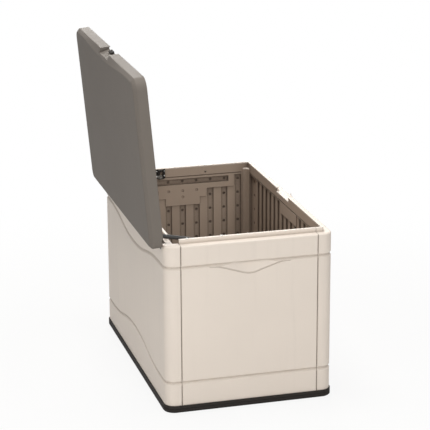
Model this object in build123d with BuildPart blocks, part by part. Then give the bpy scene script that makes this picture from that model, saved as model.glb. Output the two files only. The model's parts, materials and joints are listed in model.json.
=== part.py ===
from build123d import *
import os
from math import atan2, cos, degrees, hypot, radians, sin

os.makedirs("parts", exist_ok=True)

# Deck storage box in millimetres, drawn with the lid open
# X runs along the box, the front is at -Y, the hinges at +Y, and the floor is Z 0

# Box walls
box_length = 1000.0
box_depth = 626.0
rim_height = 628.0
corner_radius = 38.0
wall_depth = 37.5
skin = 4.0
seam_inset = 58.5
seam_gap = 1.6
seam_bevel = 2.2
fit_gap = 0.3

# Rim: a flat outer ledge and a raised ridge inside it
ledge_width = 27.5
ridge_rise = 16.0
ridge_round = 2.0
rim_round = 6.0
latch_gap_width = 147.0
strut_gap_length = 100.0

# Grooves round the walls, with a wave on the long faces
groove_width = 15.0
groove_depth = 6.0
low_groove_rise = 112.5
high_groove_drop = 80.5
wave_margin = 100.0
wave_rise = 46.0

# Finger grips under the upper groove of the end panels
grip_half = 136.0
grip_drop = 44.0
grip_depth = 13.0
grip_flare = 36.0
grip_round = 26.0
grip_ease = 1.0
grip_wall = 5.0
grip_line_width = 5.0
grip_line_depth = 2.6
grip_line_lead = 14.0
grip_points = 25

# Floor tray
base_height = 26.0
base_flare = 4.0
base_wall = 7.0
base_round = 2.5
base_line_rise = 13.0
base_line_width = 2.4
base_line_depth = 1.4
deck_top = 22.0
deck_thickness = 3.0
deck_rib_height = 3.0
deck_rib_width = 14.0
deck_rib_count = 7
foot_rib_width = 5.0
foot_ribs_long = 5
foot_ribs_cross = 7
foot_pad = 90.0

# Inner liners
liner_depth = 13.0
liner_skin = 2.5
relief = 10.0
rib_drop = 3.0
band_thickness = 4.0
band_drop = 20.0
channel_width = 26.0
channel_foot = 20.0
rib_foot = 12.0
end_edge = 28.5
end_columns = 4
long_edge = 22.0
long_columns = 8
line_height = 4.0
line_drop = 22.0
dimple_radius = 5.8
dimple_depth = 2.0
cup_depth = 5.5
cup_wall = 1.5
dimple_pitch = 58.8
dimple_foot = 26.0
plate_high_drop = 32.0
plate_mid_drop = 80.0
plate_low_drop = 114.0
plate_foot_drop = 145.0
slot_low_drop = 58.0
slot_high_drop = 34.0
plate_outer_share = 3.7
plate_inner_share = 1.72
slot_share = 3.0
long_top_drop = 28.0
long_plate_drop = 72.0
long_plate_start = -0.52
long_plate_stop = 3.26
column_radius = 22.0
column_bow = 33.0
column_bevel = 1.5
column_cap = 4.5
column_drop = 12.0

# Lid, its outer sizes and where it shuts on the rim
lid_overhang = 3.5
lid_back_inset = 10.5
lid_seat = 1.0
lid_lip = 3.8
lid_lip_width = 2.5
lid_skirt = 32.3
lid_bevel_height = 12.0
lid_bevel_inset = 13.4
lid_corner = 40.0
lid_skin = 3.5
lid_rim_width = 13.0
lid_pan_depth = 19.5
lid_liner_skin = 3.0
lid_rib_width = 16.0
lid_rib_drop = 3.0
lid_rib_count = 6
open_angle = 95.15
lid_shoulder_round = 5.0
lid_crown_round = 9.0
scoop_width = 140.0
scoop_foot = 8.5
scoop_head = 19.0
bevel_swell = 16.0
bevel_ease = 1.0
bevel_swell_margin = 95.0

# Hinges under the back skirt of the lid
hinge_inset = 6.4
hinge_drop = 10.5
hinge_end_inset = 90.0
hinge_half = 38.0
leaf_half = 27.5
ear_width = 10.0
pin_radius = 2.5
running_gap = 0.05
pocket_depth = 17.0
pocket_floor_drop = 12.5
bracket_floor = 3.0
boss_wall = 5.0
leaf_thickness = 3.0
leaf_height = 32.5

# Lid struts, one at each end
strut_offset = 15.5
strut_wall_y = 95.0
strut_wall_drop = 16.0
strut_lid_inset = 41.0
strut_lid_rise = 9.9
eye_radius = 8.0
eye_thickness = 8.0
eye_neck = 16.0
neck_width = 9.0
tube_radius = 7.5
tube_bore = 5.8
tube_cap = 4.0
rod_radius = 4.0
rod_hold = 24.0
guide_flange = 3.0
guide_length = 12.0
guide_stop = 7.5
stud_radius = 3.0
stud_head_radius = 6.0
stud_head = 2.0
side_gap = 0.5
bracket_plate = 3.0
bracket_cheek = 2.5
bracket_foot = 7.0
bracket_below = 9.0
bracket_height = 38.0
lid_stud_radius = 3.5
lid_bracket_leg = 3.0
lid_bracket_length = 25.0
lid_bracket_half = 12.0

# Latch at the middle of the front
tongue_width = 40.0
tongue_height = 13.0
tongue_lift = 1.0
tongue_front = 0.8
catch_radius = 1.5
catch_hole = 2.1
tongue_wall = 1.4
catch_height = 9.0
catch_plate_width = 34.0
catch_plate_depth = 12.0
catch_plate = 0.6

# Screw heads
screw_radius = 4.8
screw_height = 2.6
screw_round = 1.5
small_screw_radius = 2.6
small_screw_height = 1.6
small_screw_round = 0.9
rim_screw_inner = 97.0
rim_screw_outer = 224.0
screw_taper = 40.0
bracket_screw_shares = (0.3, 0.8)
leaf_screw_share = 0.7
spare_hole_radius = 3.5

# Sizes that follow from the ones above
half_length = box_length / 2
half_depth = box_depth / 2
cavity_x = half_length - wall_depth
cavity_y = half_depth - wall_depth
seam_y = half_depth - seam_inset
ridge_top = rim_height + ridge_rise
ledge_under = rim_height - skin
liner_top = ridge_top - skin
band_foot = rim_height - band_drop
strut_gap_x = half_length - strut_gap_length
latch_gap_x = latch_gap_width / 2
high_groove_z = rim_height - high_groove_drop
wave_half = half_length - wave_margin
groove_taper = degrees(atan2(groove_depth, groove_width / 2))
groove_back = groove_depth + skin
groove_back_half = groove_width / 2 + skin
grip_axis = (grip_drop**2 - grip_depth**2) / (2 * grip_depth)
grip_top = high_groove_z + groove_width / 4
grip_shelf = 3 * groove_width / 4 - grip_ease
grip_slope = (grip_drop - grip_shelf) / (grip_half - grip_flare / 2 - grip_round / 2)
end_pitch = (cavity_y - end_edge - channel_width / 2) / end_columns
long_pitch = (cavity_x - long_edge - channel_width / 2) / long_columns

lid_length = box_length + 2 * lid_overhang
lid_front_y = -half_depth - lid_overhang
lid_back_y = half_depth - lid_back_inset
lid_depth = lid_back_y - lid_front_y
lid_mid_y = (lid_front_y + lid_back_y) / 2
lid_bottom = rim_height + lid_seat
lid_shoulder = lid_bottom + lid_skirt
lid_crown = lid_shoulder + lid_bevel_height
lid_taper = degrees(atan2(lid_bevel_inset, lid_bevel_height))
pan_z = lid_bottom + lid_pan_depth
hinge_y = half_depth - hinge_inset
hinge_z = rim_height - hinge_drop
hinge_spacing = half_length - hinge_end_inset
turn_cos = cos(radians(open_angle))
turn_sin = sin(radians(open_angle))
lid_up = (0, turn_sin, turn_cos)
lid_back = (0, turn_cos, -turn_sin)


def lid_point(x, y, z):
    """Where a point of the shut lid lies once the lid is open."""
    away = y - hinge_y
    up = z - hinge_z
    return (x, hinge_y + away * turn_cos + up * turn_sin, hinge_z - away * turn_sin + up * turn_cos)


def lid_plane(z):
    """The level plane at height z of the shut lid, carried to the open lid."""
    return Plane(origin=lid_point(0, 0, z), x_dir=(1, 0, 0), z_dir=lid_up)


def lid_section(x):
    """The upright plane across the lid at x, with the shut lid's Y and Z as its axes."""
    return Plane(origin=lid_point(x, 0, 0), x_dir=lid_back, z_dir=(1, 0, 0))


# Strut linkage: the tube turns on the lid, the rod slides in it, and the rod's stud
# runs in a slot of the wall bracket
wall_pivot = Vector(0, strut_wall_y, rim_height - strut_wall_drop)
lid_pivot_y = lid_back_y - strut_lid_inset
lid_pivot_z = lid_bottom + strut_lid_rise
lid_pivot = Vector(lid_point(0, lid_pivot_y, lid_pivot_z))
shut_pivot = Vector(0, lid_pivot_y, lid_pivot_z)
strut_length = (lid_pivot - wall_pivot).length
strut_stroke = strut_length - (shut_pivot - wall_pivot).length
strut_dir = (lid_pivot - wall_pivot).normalized()
open_slope = degrees(atan2(lid_pivot.Z - wall_pivot.Z, lid_pivot.Y - wall_pivot.Y))
shut_slope = degrees(atan2(shut_pivot.Z - wall_pivot.Z, shut_pivot.Y - wall_pivot.Y))
tube_ratio = (shut_slope - open_slope) / open_angle - 1
tube_length = strut_length - 2 * eye_neck - strut_stroke - guide_flange - guide_stop
tube_end = strut_length - eye_neck
tube_mouth = tube_end - tube_length
rod_length = tube_mouth + rod_hold - eye_neck


def stud_drift(share):
    """How far the rod's stud moves in the wall bracket at a share of the lid's travel."""
    turn = radians(share * open_angle)
    away = lid_pivot.Y - hinge_y
    up = lid_pivot.Z - hinge_z
    slope = radians(open_slope + (shut_slope - open_slope) * share)
    reach = strut_length - strut_stroke * share
    drift_y = hinge_y + away * cos(turn) - up * sin(turn) - reach * cos(slope) - wall_pivot.Y
    drift_z = hinge_z + away * sin(turn) + up * cos(turn) - reach * sin(slope) - wall_pivot.Z
    return (drift_y, drift_z)


drift_steps = 40
drift = [stud_drift(step / drift_steps) for step in range(drift_steps + 1)]
drift_far = max(drift, key=lambda point: hypot(*point))
drift_length = hypot(*drift_far)
drift_unit = (drift_far[0] / drift_length, drift_far[1] / drift_length)
drift_sides = [point[0] * drift_unit[1] - point[1] * drift_unit[0] for point in drift]
slot_half = stud_radius + max(abs(side) for side in drift_sides) + side_gap
drift_low_y = min(point[0] for point in drift)
drift_high_y = max(point[0] for point in drift)
bracket_inner_low = strut_wall_y + drift_low_y - stud_head_radius - side_gap
bracket_inner_high = strut_wall_y + drift_high_y + stud_head_radius + side_gap
bracket_far = strut_offset - eye_thickness / 2 - side_gap
bracket_z = wall_pivot.Z - bracket_below


def span(low_x, high_x, low_y, high_y, mode=Mode.ADD):
    """Draws the rectangle between two corners on the sketch."""
    with Locations(((low_x + high_x) / 2, (low_y + high_y) / 2)):
        Rectangle(high_x - low_x, high_y - low_y, mode=mode)


def box_outline(inset, mode=Mode.ADD):
    """Draws the box's plan outline, moved inward by inset."""
    if corner_radius > inset:
        RectangleRounded(box_length - 2 * inset, box_depth - 2 * inset, corner_radius - inset, mode=mode)
    else:
        Rectangle(box_length - 2 * inset, box_depth - 2 * inset, mode=mode)


def box_ring(outer, inner, low, high):
    """Adds a wall that follows the box's outline between two insets and two heights."""
    with BuildSketch(Plane.XY.offset(low)) as ring:
        box_outline(outer)
        box_outline(inner, mode=Mode.SUBTRACT)
    extrude(ring.sketch, amount=high - low)


def lid_outline(inset, mode=Mode.ADD):
    """Draws the lid's plan outline, moved inward by inset."""
    with Locations((0, lid_mid_y)):
        RectangleRounded(lid_length - 2 * inset, lid_depth - 2 * inset, lid_corner - inset, mode=mode)


def bell_line(half, rise, level):
    """Draws four tangent arcs that leave the level, rise in the middle and come back to it."""
    run = half / 2
    lift = rise / 2
    radius = (run * run + lift * lift) / (2 * lift)
    angle = atan2(abs(lift), run)
    across = abs(radius) * sin(angle)
    bow = radius * (1 - cos(angle))
    ThreePointArc((-half, level), (across - half, level + bow), (-run, level + lift))
    ThreePointArc((-run, level + lift), (-across, level + rise - bow), (0, level + rise))
    ThreePointArc((0, level + rise), (across, level + rise - bow), (run, level + lift))
    ThreePointArc((run, level + lift), (half - across, level + bow), (half, level))


def grip_fall(across):
    """How far the grip's lower edge lies below its top: flared ends, straight flanks, a round foot."""
    near = abs(across)
    if near < grip_round:
        return grip_drop - grip_slope * near * near / (2 * grip_round)
    if near < grip_half - grip_flare:
        return grip_drop - grip_slope * (near - grip_round / 2)
    return grip_shelf + grip_slope * (grip_half - near) ** 2 / (2 * grip_flare)


def write(builder, name):
    """Names the finished piece and writes it out."""
    builder.part.label = name
    export_step(builder.part, f"parts/{name}.step")


# Gaps of the ridge: one for the latch and one at each back corner for the strut
with BuildSketch() as rim_gaps:
    span(-latch_gap_x, latch_gap_x, -box_depth, 0)
    span(-box_length, -strut_gap_x, seam_y, box_depth)
    span(strut_gap_x, box_length, seam_y, box_depth)

with BuildSketch() as rim_gap_ends:
    span(-latch_gap_x - skin, latch_gap_x + skin, -box_depth, 0)
    span(-box_length, -strut_gap_x + skin, seam_y - skin, box_depth)
    span(strut_gap_x - skin, box_length, seam_y - skin, box_depth)
    add(rim_gaps.sketch, mode=Mode.SUBTRACT)

# Straight groove round the ends and corners, cut as a V ring
with BuildPart() as groove_ring:
    with BuildSketch(Plane.XY.offset(-groove_width / 2)):
        box_outline(-groove_depth)
    extrude(amount=groove_width)
    with BuildSketch(Plane.XY):
        box_outline(groove_depth)
    extrude(amount=groove_width / 2, taper=-groove_taper, mode=Mode.SUBTRACT)
    with BuildSketch(Plane.XY):
        box_outline(groove_depth)
    extrude(amount=groove_width / 2, dir=(0, 0, -1), taper=-groove_taper, mode=Mode.SUBTRACT)
    with BuildSketch(Plane.XY.offset(-groove_width)):
        span(-wave_half, wave_half, -box_depth, box_depth)
    extrude(amount=2 * groove_width, mode=Mode.SUBTRACT)


def wave_groove(level, rise, deep, half):
    """A V that waves along both long faces, as deep and as wide at the face as given."""
    flare = half * (deep + groove_depth) / deep
    start = Plane(origin=(-wave_half, half_depth, level), x_dir=(0, 1, 0), z_dir=(1, 0, 0))
    with BuildPart() as groove:
        with BuildLine(Plane(origin=(0, half_depth, 0), x_dir=(1, 0, 0), z_dir=(0, -1, 0))):
            bell_line(wave_half, rise, level)
        with BuildSketch(start):
            with BuildLine():
                Polyline((-deep, 0), (groove_depth, flare), (groove_depth, -flare), close=True)
            make_face()
        sweep()
        mirror(about=Plane.XZ)
    return groove.part


def groove_backing(level, rise):
    """The thicker wall behind a groove, straight at the ends and waved along the long faces."""
    with BuildPart() as backing:
        box_ring(skin / 2, groove_back, level - groove_back_half, level + groove_back_half)
        with BuildSketch(Plane.XY):
            span(-wave_half, wave_half, -box_depth, box_depth)
        extrude(amount=ridge_top, mode=Mode.SUBTRACT)
        add(wave_groove(level, rise, groove_back, groove_back_half))
        with BuildSketch(Plane.XY):
            box_outline(skin / 2)
        extrude(amount=ridge_top, mode=Mode.INTERSECT)
    return backing.part


grip_steps = [grip_half * (2 * step / (grip_points - 1) - 1) for step in range(grip_points)]


def grip_scoop(grow):
    """The finger grip of both ends, turned about an axis outside the face, or with grow its backing."""
    axis_x = half_length + grip_axis
    level = Plane(origin=(axis_x, 0, grip_top), x_dir=(0, 1, 0), z_dir=(0, 0, 1))
    edge_points = [(across, grow + hypot(grip_axis, grip_fall(across))) for across in grip_steps]
    with BuildPart() as grip:
        with BuildSketch(level) as profile:
            with BuildLine():
                Spline(*edge_points, tangents=[(1, 0), (1, 0)])
                Polyline(edge_points[-1], (grip_half, 0), (-grip_half, 0), edge_points[0])
            make_face()
        revolve(axis=Axis((axis_x, 0, grip_top), (0, -1, 0)), revolution_arc=90)
        if grow:
            extrude(profile.sketch, amount=grow)
            with BuildSketch(Plane.XY):
                box_outline(skin / 2)
            extrude(amount=ridge_top, mode=Mode.INTERSECT)
        mirror(about=Plane.YZ)
    return grip.part


# Fine line round the lower edge of each grip, which starts and ends along the groove
line_reach = grip_half + grip_line_lead
line_steps = [-line_reach, *grip_steps, line_reach]


def line_height_at(across):
    """Height of the middle of the fine line."""
    return grip_top - (grip_fall(across) if abs(across) < grip_half else grip_shelf)


def line_side(shift):
    """Points along the fine line, moved to one side of its middle."""
    points = []
    for across in line_steps:
        rise = line_height_at(across + fit_gap) - line_height_at(across - fit_gap)
        length = hypot(2 * fit_gap, rise)
        shift_y = -shift * rise / length
        shift_z = shift * 2 * fit_gap / length
        points.append((across + shift_y, line_height_at(across) + shift_z))
    return points


with BuildPart() as grip_line:
    upper = line_side(grip_line_width / 2)
    lower = line_side(-grip_line_width / 2)
    with BuildSketch(Plane(origin=(half_length, 0, 0), x_dir=(0, 1, 0), z_dir=(1, 0, 0))):
        with BuildLine():
            Spline(*upper, tangents=[(1, 0), (1, 0)])
            Line(upper[-1], lower[-1])
            Spline(*lower, tangents=[(1, 0), (1, 0)])
            Line(lower[0], upper[0])
        make_face()
    extrude(amount=grip_line_depth, both=True)
    mirror(about=Plane.YZ)


# Four walls as one shell, parted at the seams below
with BuildPart() as wall_shell:
    box_ring(0, skin, deck_top, rim_height)
    box_ring(0, ledge_width + skin, ledge_under, rim_height)
    fillet(wall_shell.faces().sort_by(Axis.Z)[-1].outer_wire().edges(), rim_round)
    box_ring(ledge_width, ledge_width + skin, ledge_under, ridge_top)
    box_ring(ledge_width, wall_depth, liner_top, ridge_top)
    fillet(wall_shell.faces().sort_by(Axis.Z)[-1].outer_wire().edges(), ridge_round)
    with BuildSketch(Plane.XY.offset(rim_height)):
        add(rim_gaps.sketch)
    extrude(amount=ridge_rise, mode=Mode.SUBTRACT)
    with BuildSketch(Plane.XY.offset(ledge_under)):
        box_outline(ledge_width)
        Rectangle(2 * cavity_x, 2 * cavity_y, mode=Mode.SUBTRACT)
        add(rim_gaps.sketch, mode=Mode.INTERSECT)
    extrude(amount=skin)
    with BuildSketch(Plane.XY.offset(ledge_under)):
        box_outline(ledge_width)
        Rectangle(
            2 * (cavity_x + band_thickness + fit_gap),
            2 * (cavity_y + band_thickness + fit_gap),
            mode=Mode.SUBTRACT,
        )
        add(rim_gap_ends.sketch, mode=Mode.INTERSECT)
    extrude(amount=ridge_top - ledge_under)
    add(grip_scoop(grip_wall))
    for level, rise in ((low_groove_rise, wave_rise), (high_groove_z, -wave_rise)):
        add(groove_backing(level, rise))
    add(grip_scoop(0), mode=Mode.SUBTRACT)
    add(grip_line.part, mode=Mode.SUBTRACT)
    for level, rise in ((low_groove_rise, wave_rise), (high_groove_z, -wave_rise)):
        add(groove_ring.part.moved(Location((0, 0, level))), mode=Mode.SUBTRACT)
        add(wave_groove(level, rise, groove_depth, groove_width / 2), mode=Mode.SUBTRACT)
    with BuildSketch(Plane.XY.offset(deck_top)):
        for x in (-half_length, half_length):
            for y in (-seam_y, seam_y):
                with Locations((x, y)):
                    Rectangle(2 * seam_bevel, 2 * seam_bevel, rotation=45)
    extrude(amount=rim_height - deck_top, mode=Mode.SUBTRACT)

# Floor tray with the black trim, its deck ribs and the ribs that it stands on
with BuildPart() as floor_tray:
    with BuildSketch(Plane.XY):
        box_outline(-base_flare)
    extrude(amount=base_height)
    fillet(floor_tray.faces().sort_by(Axis.Z)[-1].outer_wire().edges(), base_round)
    chamfer(floor_tray.faces().sort_by(Axis.Z)[0].outer_wire().edges(), base_round)
    with BuildSketch(Plane.XY.offset(base_line_rise)):
        box_outline(-2 * base_flare)
        box_outline(base_line_depth - base_flare, mode=Mode.SUBTRACT)
    extrude(amount=base_line_width, mode=Mode.SUBTRACT)
    with BuildSketch(Plane.XY.offset(deck_top)):
        box_outline(-fit_gap)
    extrude(amount=base_height - deck_top, mode=Mode.SUBTRACT)
    with BuildSketch(Plane.XY):
        box_outline(base_wall)
    extrude(amount=deck_top - deck_thickness, mode=Mode.SUBTRACT)
    with BuildSketch(Plane.XY):
        with GridLocations(0, (box_depth - 2 * base_wall) / (foot_ribs_long + 1), 1, foot_ribs_long):
            Rectangle(box_length - base_wall, foot_rib_width)
        with GridLocations((box_length - 2 * base_wall) / (foot_ribs_cross + 1), 0, foot_ribs_cross, 1):
            Rectangle(foot_rib_width, box_depth - base_wall)
        Rectangle(foot_pad, foot_pad)
    extrude(amount=deck_top - deck_thickness)
    with BuildSketch(Plane.XY.offset(deck_top)):
        with GridLocations(0, 2 * cavity_y / (deck_rib_count + 1), 1, deck_rib_count):
            SlotOverall(2 * (cavity_x - 2 * column_radius), deck_rib_width)
    extrude(amount=deck_rib_height)
write(floor_tray, "floor_tray")

# Panels parted at the seams on the end faces
with BuildPart() as front_panel:
    add(wall_shell.part)
    with BuildSketch(Plane.XY):
        span(-box_length, box_length, -box_depth, -seam_y - seam_gap / 2)
    extrude(amount=2 * ridge_top, mode=Mode.INTERSECT)
write(front_panel, "front_panel")

hinge_places = {"left": -hinge_spacing, "middle": 0.0, "right": hinge_spacing}
pocket_floor = hinge_z - pocket_floor_drop
pocket_half = hinge_half + 2 * fit_gap

with BuildPart() as back_panel:
    add(wall_shell.part)
    with BuildSketch(Plane.XY):
        span(-box_length, box_length, seam_y + seam_gap / 2, box_depth)
    extrude(amount=2 * ridge_top, mode=Mode.INTERSECT)
    with BuildSketch(Plane.XY.offset(pocket_floor - boss_wall)):
        for place in hinge_places.values():
            span(
                place - pocket_half - boss_wall,
                place + pocket_half + boss_wall,
                half_depth - pocket_depth - boss_wall,
                half_depth - skin / 2,
            )
    extrude(amount=ledge_under + skin / 2 - pocket_floor + boss_wall)
    with BuildSketch(Plane.XY.offset(pocket_floor)):
        for place in hinge_places.values():
            span(place - pocket_half, place + pocket_half, half_depth - pocket_depth, box_depth)
    extrude(amount=rim_height - pocket_floor, mode=Mode.SUBTRACT)
write(back_panel, "back_panel")

sides = {"left": -1, "right": 1}

for side, way in sides.items():
    with BuildPart() as end_panel:
        add(wall_shell.part)
        with BuildSketch(Plane.XY):
            with Locations((way * (strut_gap_x + half_length), 0)):
                Rectangle(2 * half_length, 2 * seam_y - seam_gap)
        extrude(amount=2 * ridge_top, mode=Mode.INTERSECT)
    write(end_panel, f"{side}_end_panel")


def dimple_rows(top):
    """Heights of the dimples in a channel that ends at top."""
    first = deck_top + dimple_foot
    count = int((top - dimple_radius - liner_skin - first) / dimple_pitch) + 1
    return [first + row * dimple_pitch for row in range(count)]


def make_liner(plane, half_width, edge, zones, channels, slots, plate_dimples, lows, holes, name):
    """One moulded inner wall: plate, ribs, channels, slots, dimples, and a thin band at its top.

    zones are the rib areas, channels and slots the deep areas, lows the parts of the band cut
    down to the ledge, and holes the screw holes.
    """
    behind = plane.offset(-liner_depth)
    foot = deck_top + channel_foot
    deep_points = [(x, z) for x, half, top in channels for z in dimple_rows(top)]
    slot_points = []
    for low_x, high_x, low_z, high_z in slots:
        count = int((high_x - low_x) / dimple_pitch)
        first = (low_x + high_x - count * dimple_pitch) / 2
        for step in range(count + 1):
            slot_points.append((first + step * dimple_pitch, (low_z + high_z) / 2))
    with BuildPart() as liner:
        with BuildSketch(behind):
            span(-half_width, half_width, deck_top, band_foot)
        extrude(amount=liner_depth)
        with BuildSketch(plane.offset(-band_thickness)):
            span(-edge, edge, band_foot, liner_top)
            for low_x, high_x in lows:
                span(low_x, high_x, ledge_under, liner_top, mode=Mode.SUBTRACT)
        extrude(amount=band_thickness)
        with BuildSketch(plane):
            for low_x, high_x, top in zones:
                span(low_x, high_x, deck_top + rib_foot, top)
            span(zones[0][0], zones[-1][1], rim_height - line_drop - line_height, rim_height - line_drop)
        extrude(amount=-rib_drop, mode=Mode.SUBTRACT)
        with BuildSketch(plane):
            for x, half, top in channels:
                span(x - half, x + half, foot, top)
            for low_x, high_x, low_z, high_z in slots:
                span(low_x, high_x, low_z, high_z)
        extrude(amount=-relief, mode=Mode.SUBTRACT)
        with BuildSketch(behind):
            span(
                liner_skin - half_width,
                half_width - liner_skin,
                deck_top + liner_skin,
                band_foot - liner_skin,
            )
            for x, half, top in channels:
                span(
                    x - half - liner_skin,
                    x + half + liner_skin,
                    foot - liner_skin,
                    top + liner_skin,
                    mode=Mode.SUBTRACT,
                )
            for low_x, high_x, low_z, high_z in slots:
                span(
                    low_x - liner_skin,
                    high_x + liner_skin,
                    low_z - liner_skin,
                    high_z + liner_skin,
                    mode=Mode.SUBTRACT,
                )
        extrude(amount=liner_depth - rib_drop - liner_skin, mode=Mode.SUBTRACT)
        with BuildSketch(behind):
            with Locations(*deep_points, *slot_points):
                Circle(dimple_radius + cup_wall)
        extrude(amount=-cup_depth)
        with BuildSketch(plane.offset(-relief)):
            with Locations(*deep_points, *slot_points):
                Circle(dimple_radius)
        extrude(amount=relief - liner_depth - cup_depth + cup_wall, mode=Mode.SUBTRACT)
        if plate_dimples:
            with BuildSketch(plane):
                with Locations(*plate_dimples):
                    Circle(dimple_radius)
            extrude(amount=-dimple_depth, mode=Mode.SUBTRACT)
        if holes:
            with BuildSketch(plane):
                with Locations(*holes):
                    Circle(spare_hole_radius)
            extrude(amount=-band_thickness, mode=Mode.SUBTRACT)
    write(liner, name)


# End liners: the plate steps down towards the middle, with a long slot across it
plate_high = rim_height - plate_high_drop
plate_mid = rim_height - plate_mid_drop
plate_low = rim_height - plate_low_drop
plate_foot = rim_height - plate_foot_drop
slot_low = rim_height - slot_low_drop
slot_high = rim_height - slot_high_drop
slot_reach = slot_share * end_pitch + channel_width / 2 + line_height
end_outer = cavity_y - end_edge
plate_outer = plate_outer_share * end_pitch
plate_inner = plate_inner_share * end_pitch
plate_middle = end_pitch + channel_width / 2
end_zones = [
    (-end_outer, -plate_outer, plate_high),
    (-plate_outer, -plate_inner, plate_mid),
    (-plate_inner, -plate_middle, plate_low),
    (-plate_middle, plate_middle, plate_foot),
    (plate_middle, plate_inner, plate_low),
    (plate_inner, plate_outer, plate_mid),
    (plate_outer, end_outer, plate_high),
]
end_tops = (plate_foot, plate_foot, plate_mid, plate_mid, plate_high)
end_channels = []
for column in range(-end_columns, end_columns + 1):
    end_channels.append((column * end_pitch, channel_width / 2, end_tops[abs(column)]))
end_slots = [(-slot_reach, slot_reach, slot_low, slot_high)]
end_dimples = [
    (-end_pitch, plate_mid - line_height),
    (0, plate_mid - line_height),
    (end_pitch, plate_mid - line_height),
    (0, plate_low + line_height),
]

for side, way in sides.items():
    plane = Plane(origin=(way * cavity_x, 0, 0), x_dir=(0, -way, 0), z_dir=(-way, 0, 0))
    gap_low = min(-way * (seam_y - skin), -way * box_depth)
    gap_high = max(-way * (seam_y - skin), -way * box_depth)
    make_liner(
        plane,
        cavity_y,
        cavity_y,
        end_zones,
        end_channels,
        end_slots,
        end_dimples,
        [(gap_low, gap_high)],
        [(way * strut_wall_y, rim_height - line_drop / 2)],
        f"{side}_end_liner",
    )

# Long liners: channels up to the band, wide ones at the corners, and one plain plate off the middle
long_outer = cavity_x - long_edge
long_top = rim_height - long_top_drop
long_plate = rim_height - long_plate_drop
plate_start = long_plate_start * long_pitch
plate_stop = long_plate_stop * long_pitch
long_zones = [
    (-long_outer, plate_start, long_top),
    (plate_start, plate_stop, long_plate),
    (plate_stop, long_outer, long_top),
]
wide_half = (long_pitch + channel_width) / 2
wide_place = (long_columns - 0.5) * long_pitch
long_channels = [(-wide_place, wide_half, long_top), (wide_place, wide_half, long_top)]
for column in range(2 - long_columns, long_columns - 1):
    place = column * long_pitch
    top = long_plate if plate_start < place < plate_stop else long_top
    long_channels.append((place, channel_width / 2, top))

front_plane = Plane(origin=(0, -cavity_y, 0), x_dir=(-1, 0, 0), z_dir=(0, 1, 0))
back_plane = Plane(origin=(0, cavity_y, 0), x_dir=(1, 0, 0), z_dir=(0, -1, 0))
long_half = cavity_x + liner_depth
long_band = cavity_x + band_thickness
latch_lows = [(-latch_gap_x - skin, latch_gap_x + skin)]
strut_lows = [(-box_length, -strut_gap_x + skin), (strut_gap_x - skin, box_length)]
for plane, lows, name in (
    (front_plane, latch_lows, "front_liner"),
    (back_plane, strut_lows, "back_liner"),
):
    make_liner(plane, long_half, long_band, long_zones, long_channels, [], [], lows, [], name)

# Corner columns that hide the joints of the liners, each with a cap
corners = {"front_left": (-1, -1), "front_right": (1, -1), "back_left": (-1, 1), "back_right": (1, 1)}
column_top = rim_height - column_drop


def column_section(way_x, way_y, level):
    """Draws a column's section at a level and gives its face."""
    plane = Plane(
        origin=(way_x * cavity_x, way_y * cavity_y, level),
        x_dir=(-way_x, 0, 0),
        z_dir=(0, 0, way_x * way_y),
    )
    with BuildSketch(plane) as section:
        with BuildLine():
            Line((0, 0), (column_radius, 0))
            RadiusArc((column_radius, 0), (0, column_radius), column_bow)
            Line((0, column_radius), (0, 0))
        make_face()
    return section.sketch


for corner, ways in corners.items():
    with BuildPart() as column:
        extrude(column_section(*ways, deck_top), amount=column_top - deck_top, dir=(0, 0, 1))
    write(column, f"column_{corner}")

    with BuildPart() as cap:
        extrude(column_section(*ways, column_top), amount=column_cap, dir=(0, 0, 1))
        chamfer(cap.faces().sort_by(Axis.Z)[-1].edges().filter_by(GeomType.CIRCLE), column_bevel)
    write(cap, f"column_cap_{corner}")

# Hinges: a bracket in each pocket of the back wall, a pin, and a leaf on the lid
for place_name, place in hinge_places.items():
    with BuildPart() as hinge_bracket:
        with BuildSketch(Plane.XY.offset(pocket_floor)):
            span(place - hinge_half, place + hinge_half, half_depth - pocket_depth, half_depth)
        extrude(amount=bracket_floor)
        for low in (place - hinge_half, place + hinge_half - ear_width):
            with BuildSketch(Plane.YZ.offset(low)):
                with Locations((hinge_y, hinge_z)):
                    Circle(hinge_inset)
                span(hinge_y - hinge_inset, hinge_y + hinge_inset, pocket_floor + bracket_floor, hinge_z)
                with Locations((hinge_y, hinge_z)):
                    Circle(pin_radius + running_gap, mode=Mode.SUBTRACT)
            extrude(amount=ear_width)
    write(hinge_bracket, f"hinge_bracket_{place_name}")

    with BuildPart() as hinge_pin:
        with BuildSketch(Plane.YZ.offset(place - hinge_half)):
            with Locations((hinge_y, hinge_z)):
                Circle(pin_radius)
        extrude(amount=2 * hinge_half)
        chamfer(hinge_pin.edges(), pin_radius / 5)
    write(hinge_pin, f"hinge_pin_{place_name}")

    with BuildPart() as hinge_leaf:
        with BuildSketch(lid_section(place - leaf_half)):
            with Locations((hinge_y, hinge_z)):
                Circle(hinge_inset)
            span(lid_back_y, lid_back_y + leaf_thickness, hinge_z, hinge_z + leaf_height)
            with Locations((hinge_y, hinge_z)):
                Circle(pin_radius + running_gap, mode=Mode.SUBTRACT)
        extrude(amount=2 * leaf_half)
    write(hinge_leaf, f"hinge_leaf_{place_name}")


def scoop_prism(grow):
    """The finger scoop in the lid's front, or with grow the room that its backing needs."""
    slope = (scoop_head - scoop_foot) / (lid_crown - lid_bottom)
    reach = lid_crown - lid_bottom
    half = scoop_width / 2 + grow
    foot_y = lid_front_y + scoop_foot + grow
    with BuildPart() as scoop:
        with BuildSketch(lid_section(-half)):
            with BuildLine():
                Polyline(
                    (lid_front_y - reach, lid_bottom - reach),
                    (foot_y - reach * slope, lid_bottom - reach),
                    (foot_y + 2 * reach * slope, lid_crown + reach),
                    (lid_front_y - reach, lid_crown + reach),
                    close=True,
                )
            make_face()
        extrude(amount=2 * half)
    return scoop.part


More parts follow.
